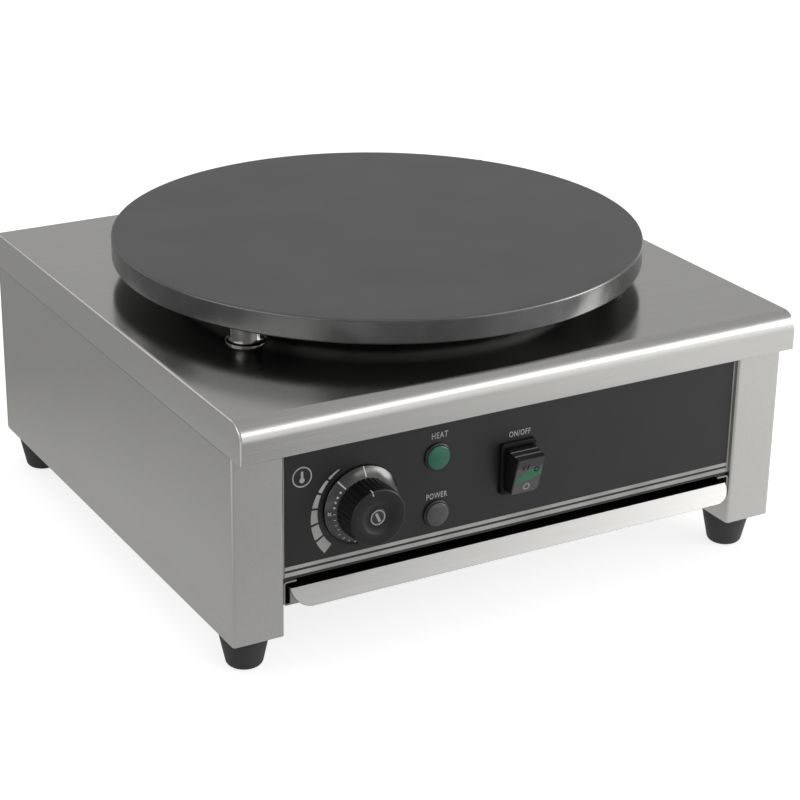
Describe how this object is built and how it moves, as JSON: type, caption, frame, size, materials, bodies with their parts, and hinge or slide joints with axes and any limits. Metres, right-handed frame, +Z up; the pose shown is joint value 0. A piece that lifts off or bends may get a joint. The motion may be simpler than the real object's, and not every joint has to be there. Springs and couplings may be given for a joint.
{
  "type": "electric crepe maker",
  "caption": "Countertop electric griddle: a round cast iron plate on a stainless housing with a thermostat dial, a rocker switch, lamps and a crumb drawer.",
  "frame": {"origin": "on the surface the feet stand on, below the axis of the round plate, at the centre of the object's box", "axes": "+X to the right seen from the front, +Y to the back, +Z up along the plate's axis"},
  "size_m": [0.45, 0.463, 0.229],
  "materials": {
    "cast_iron": "machined, seasoned, matt dark grey",
    "stainless": "satin brushed stainless sheet",
    "bright_steel": "polished",
    "zinc_steel": "zinc plated sheet",
    "fastener": "zinc plated",
    "element_sheath": "oxidised alloy sheath",
    "heat_pan": "aluminised, dull",
    "fibre": "white ceramic fibre board",
    "overlay_black": "satin black film",
    "print_grey": "screen-printed light grey",
    "knob_black": "moulded phenolic",
    "cap_black": "moulded, with a light mark",
    "bakelite": "moulded phenolic",
    "copper": "drawn copper",
    "brass": "machined",
    "lens_green": "translucent green",
    "lens_clear": "translucent smoke grey",
    "switch_black": "moulded nylon",
    "window_green": "translucent green over grey",
    "nylon_black": "moulded nylon",
    "block_white": "steatite",
    "wire_sleeve": "silicone insulation",
    "foot_rubber": "black rubber"
  },
  "bodies": {
    "housing": {"griddle_plate": "cast_iron", "outer_heating_element": "element_sheath", "inner_heating_element": "element_sheath", "element_clamp": "zinc_steel", "insulation_pad": "fibre", "heat_shield": "heat_pan", "clamp_bolts": "fastener", "overheat_cutout": "bakelite", "plate_spacers": "bright_steel", "plate_studs": "fastener", "stud_washers": "fastener", "stud_nuts": "fastener", "top_cover": "stainless", "side_panel_right": "stainless", "side_panel_left": "stainless", "back_panel": "stainless", "front_panel": "stainless", "control_overlay": "overlay_black", "panel_print": "print_grey", "panel_screws": "fastener", "deck_plate": "zinc_steel", "drawer_runner_right": "stainless", "drawer_runner_left": "stainless", "rear_rail": "zinc_steel", "back_screws": "fastener", "cover_screws": "fastener", "foot_washers": "fastener", "foot_screws": "fastener", "foot_nuts": "fastener", "thermostat_body": "bakelite", "thermostat_screws": "fastener", "temperature_bulb": "copper", "lamp_nuts": "nylon_black", "switch_housing": "switch_black", "gland_body": "nylon_black", "gland_nut": "nylon_black", "gland_locknut": "nylon_black", "terminal_block": "block_white", "terminal_screws": "brass", "earth_terminal": "brass", "wiring": "wire_sleeve", "foot_front_left": "foot_rubber", "foot_front_right": "foot_rubber", "foot_back_left": "foot_rubber", "foot_back_right": "foot_rubber", "support_bar_front": "zinc_steel", "support_bar_rear": "zinc_steel", "heat_lamp_bezel": "nylon_black", "heat_lamp_lens": "lens_green", "power_lamp_bezel": "nylon_black", "power_lamp_lens": "lens_clear"},
    "dial": {"dial_spindle": "fastener", "dial_skirt": "knob_black", "dial_grip": "knob_black", "dial_cap": "cap_black"},
    "rocker": {"switch_rocker": "switch_black", "rocker_window": "window_green"},
    "drawer": {"drawer_tray": "stainless"}
  },
  "joints": [
    {"name": "dial_turn", "type": "hinge", "parent": "housing", "child": "dial", "pos_m": [-0.1265, -0.2065, 0.1119], "axis": [0, 1, 0], "range_deg": [0, 270]},
    {"name": "rocker_tilt", "type": "hinge", "parent": "housing", "child": "rocker", "pos_m": [-0.002, -0.2035, 0.1145], "axis": [-1, 0, 0], "range_deg": [0, 14]},
    {"name": "drawer_slide", "type": "slide", "parent": "housing", "child": "drawer", "axis": [0, -1, 0], "range_m": [0, 0.3]}
  ]
}
